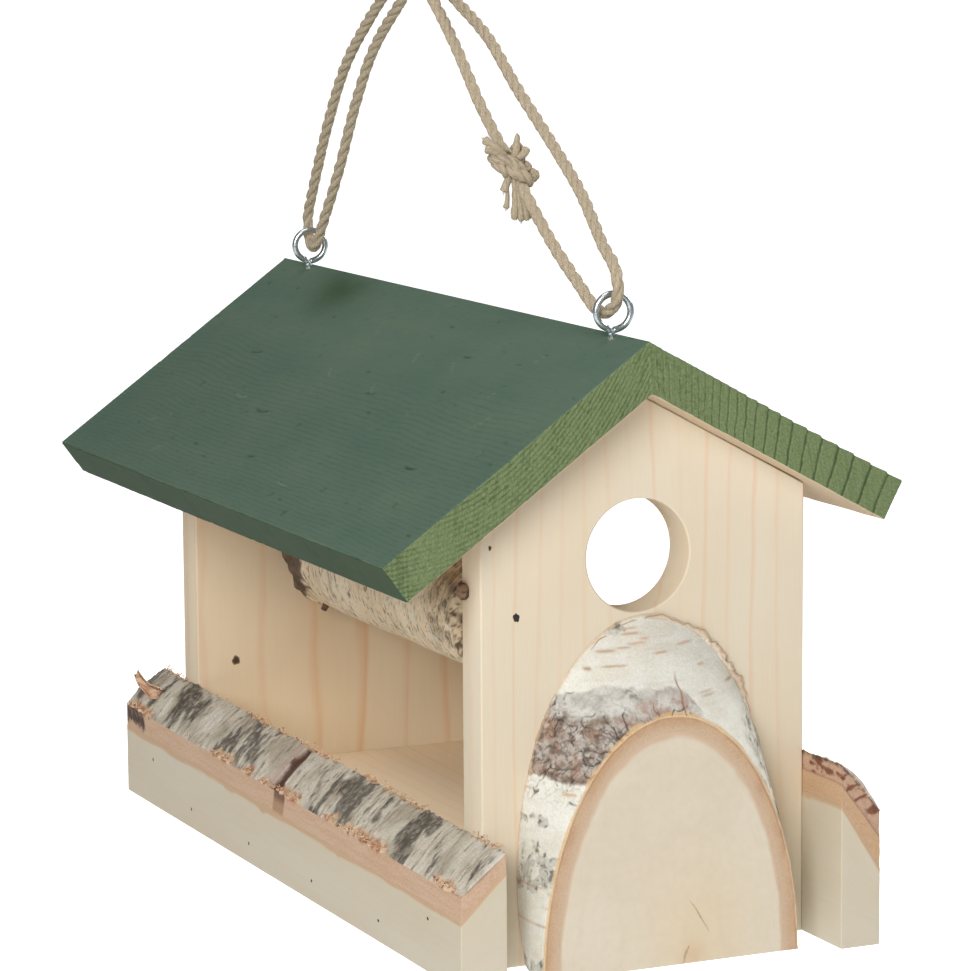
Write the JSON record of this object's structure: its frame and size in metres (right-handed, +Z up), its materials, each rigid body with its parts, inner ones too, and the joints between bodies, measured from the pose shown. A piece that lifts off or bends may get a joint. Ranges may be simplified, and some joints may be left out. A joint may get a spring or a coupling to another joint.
{
  "type": "hanging bird feeder house",
  "caption": "Small wooden bird feeder house with a mitred roof, open sides, a round entrance, a log slice and a perch branch, hung from a rope loop by screw eyes.",
  "frame": {"origin": "under the top of the rope loop, where the hook carries it", "axes": "+Z up, +Y along the ridge away from the front gable, +X to the right seen from the front"},
  "size_m": [0.2311, 0.4042, 0.3965],
  "materials": {
    "spruce": "planed, unfinished",
    "roof_paint": "satin dark green-grey stain",
    "birch_wood": "sawn, unfinished",
    "birch_bark": "rough bark",
    "zinc": "bright zinc plate",
    "steel": "bright wire",
    "hemp": "three-strand laid natural fibre"
  },
  "bodies": {
    "rope": {"rope": "hemp", "rope_knot": "hemp"},
    "house": {"screw_eye_front": "zinc", "screw_eye_back": "zinc", "gable_front": "spruce", "gable_back": "spruce", "floor_board": "spruce", "roof_board_left": "roof_paint", "roof_board_right": "roof_paint", "side_rail_left": "birch_wood", "side_rail_left_bark": "birch_bark", "side_rail_right": "birch_wood", "side_rail_right_bark": "birch_bark", "log_slice": "birch_wood", "log_slice_bark": "birch_bark", "perch_branch": "birch_bark", "roof_nails_front": "steel", "roof_nails_back": "steel", "rail_nails_left": "steel", "rail_nails_right": "steel", "floor_nails_front": "steel", "floor_nails_back": "steel", "slice_screws": "steel", "branch_nails": "steel"}
  },
  "joints": [
    {"name": "house_swing", "type": "hinge", "parent": "rope", "child": "house", "pos_m": [0, -0.035, -0.13], "axis": [0, 1, 0], "range_deg": [-110, 110]}
  ]
}
